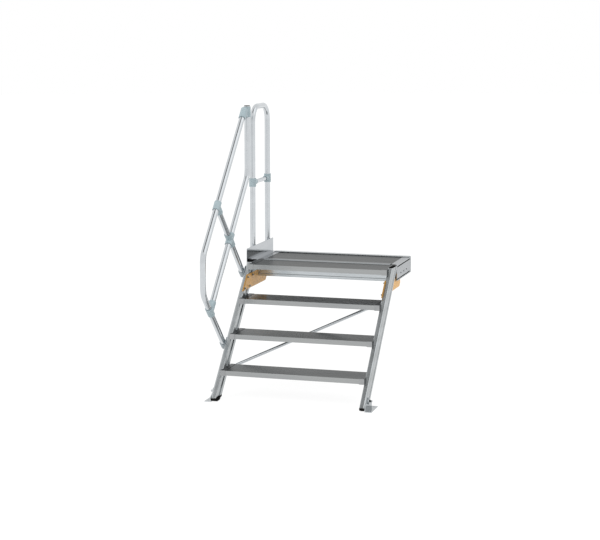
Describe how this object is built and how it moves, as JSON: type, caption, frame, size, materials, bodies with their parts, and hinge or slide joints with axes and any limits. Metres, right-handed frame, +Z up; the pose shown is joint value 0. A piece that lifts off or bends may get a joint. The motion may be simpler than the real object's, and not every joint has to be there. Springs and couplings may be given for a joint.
{
  "type": "industrial stair with platform",
  "caption": "Short open aluminium stair with hollow treads between box stringers, a platform frame, a tube handrail and a guardrail hoop with toe board on the left.",
  "frame": {"origin": "middle of the rear cross beam's back face, which is fastened to a wall, machine or frame", "axes": "+X to the right when going up, +Y up the flight and out of the back face, +Z up"},
  "size_m": [1.154, 1.495, 1.924],
  "materials": {
    "aluminium": "satin",
    "tread_aluminium": "bright",
    "tube_aluminium": "satin",
    "connector_plastic": "satin",
    "black_plastic": "matte",
    "yellow_steel": "satin"
  },
  "bodies": {
    "root": {"cross_connector": "connector_plastic", "diagonal_brace": "aluminium", "floor_bracket_left": "aluminium", "floor_bracket_right": "aluminium", "foot_left": "black_plastic", "foot_right": "black_plastic", "front_beam": "aluminium", "gate_post_cap": "black_plastic", "handrail_connector": "connector_plastic", "handrail_tube": "tube_aluminium", "hoop": "tube_aluminium", "hoop_clamp_front": "aluminium", "hoop_clamp_rear": "aluminium", "hoop_connector_front": "connector_plastic", "hoop_connector_rear": "connector_plastic", "hoop_mid_rail": "tube_aluminium", "knee_rail_tube": "tube_aluminium", "lower_connector": "connector_plastic", "lower_socket": "aluminium", "middle_post_lower": "tube_aluminium", "middle_post_upper": "tube_aluminium", "platform_end_caps": "tread_aluminium", "platform_front_board": "tread_aluminium", "platform_rear_board": "tread_aluminium", "rear_beam": "aluminium", "side_bracket_left": "yellow_steel", "side_bracket_right": "yellow_steel", "side_rail_left": "aluminium", "side_rail_right": "aluminium", "stringer_cap_left": "black_plastic", "stringer_cap_right": "black_plastic", "stringer_left": "aluminium", "stringer_right": "aluminium", "toe_board": "aluminium", "top_connector": "connector_plastic", "tread_1": "tread_aluminium", "tread_1_end_caps": "tread_aluminium", "tread_2": "tread_aluminium", "tread_2_end_caps": "tread_aluminium", "tread_3": "tread_aluminium", "tread_3_end_caps": "tread_aluminium", "upper_socket": "aluminium"}
  },
  "joints": []
}
